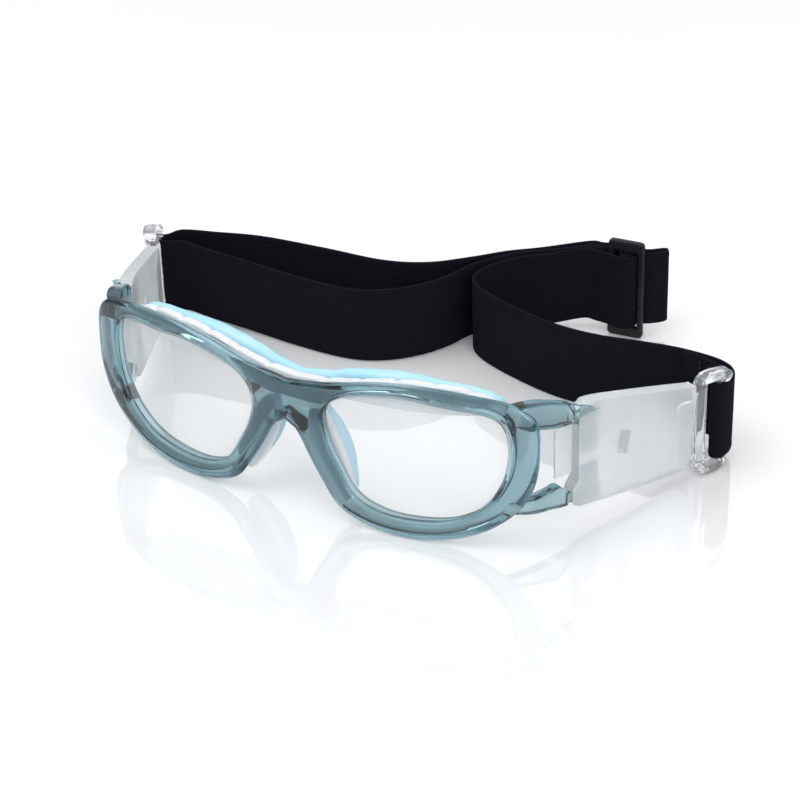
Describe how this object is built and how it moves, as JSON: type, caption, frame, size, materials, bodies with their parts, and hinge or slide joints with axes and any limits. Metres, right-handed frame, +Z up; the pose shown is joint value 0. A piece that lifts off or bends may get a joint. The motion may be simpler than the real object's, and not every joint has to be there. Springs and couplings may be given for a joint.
{
  "type": "sports protective goggles",
  "caption": "Wrap-around protective goggles with two clear lenses, brow and nose pads, flexible side plates, strap buckles and an adjustable elastic strap.",
  "frame": {"origin": "on the table, under the middle of the whole object's box", "axes": "+Z up, +Y from the lenses towards the back of the head, +X towards the wearer's left"},
  "size_m": [0.191, 0.1365, 0.0454],
  "materials": {
    "front": "clear grey-teal polycarbonate, polished",
    "lens": "clear polycarbonate lens",
    "carrier": "milky translucent moulding",
    "pad": "light blue silicone",
    "plate": "frosted translucent elastomer",
    "buckle": "clear hard plastic",
    "strap": "knitted black elastic",
    "slider": "black satin plastic"
  },
  "bodies": {
    "front": {"frame_front": "front", "lens_left": "lens", "lens_right": "lens", "insert_carrier": "carrier", "brow_pad": "pad", "nose_pad_base_left": "carrier", "nose_pad_base_right": "carrier", "nose_pad_left": "pad", "nose_pad_right": "pad", "strap_band": "strap"},
    "temple_left": {"temple_plate_left": "plate", "temple_buckle_left": "buckle"},
    "temple_right": {"temple_plate_right": "plate", "temple_buckle_right": "buckle"},
    "slider": {"strap_slider": "slider"}
  },
  "joints": [
    {"name": "temple_left_hinge", "type": "hinge", "parent": "front", "child": "temple_left", "pos_m": [0.07319, -0.03604, 0.022], "axis": [0, 0, 1], "range_deg": [-10, 10], "stiffness_Nm_per_rad": 0.05, "deforming": ["strap_band"]},
    {"name": "temple_right_hinge", "type": "hinge", "parent": "front", "child": "temple_right", "pos_m": [-0.07319, -0.03604, 0.022], "axis": [0, 0, -1], "range_deg": [-10, 10], "stiffness_Nm_per_rad": 0.05, "deforming": ["strap_band"]},
    {"name": "slider_slide", "type": "slide", "parent": "front", "child": "slider", "axis": [0.9962, 0.0872, 0], "range_m": [-0.006, 0.006], "deforming": ["strap_band"]}
  ]
}
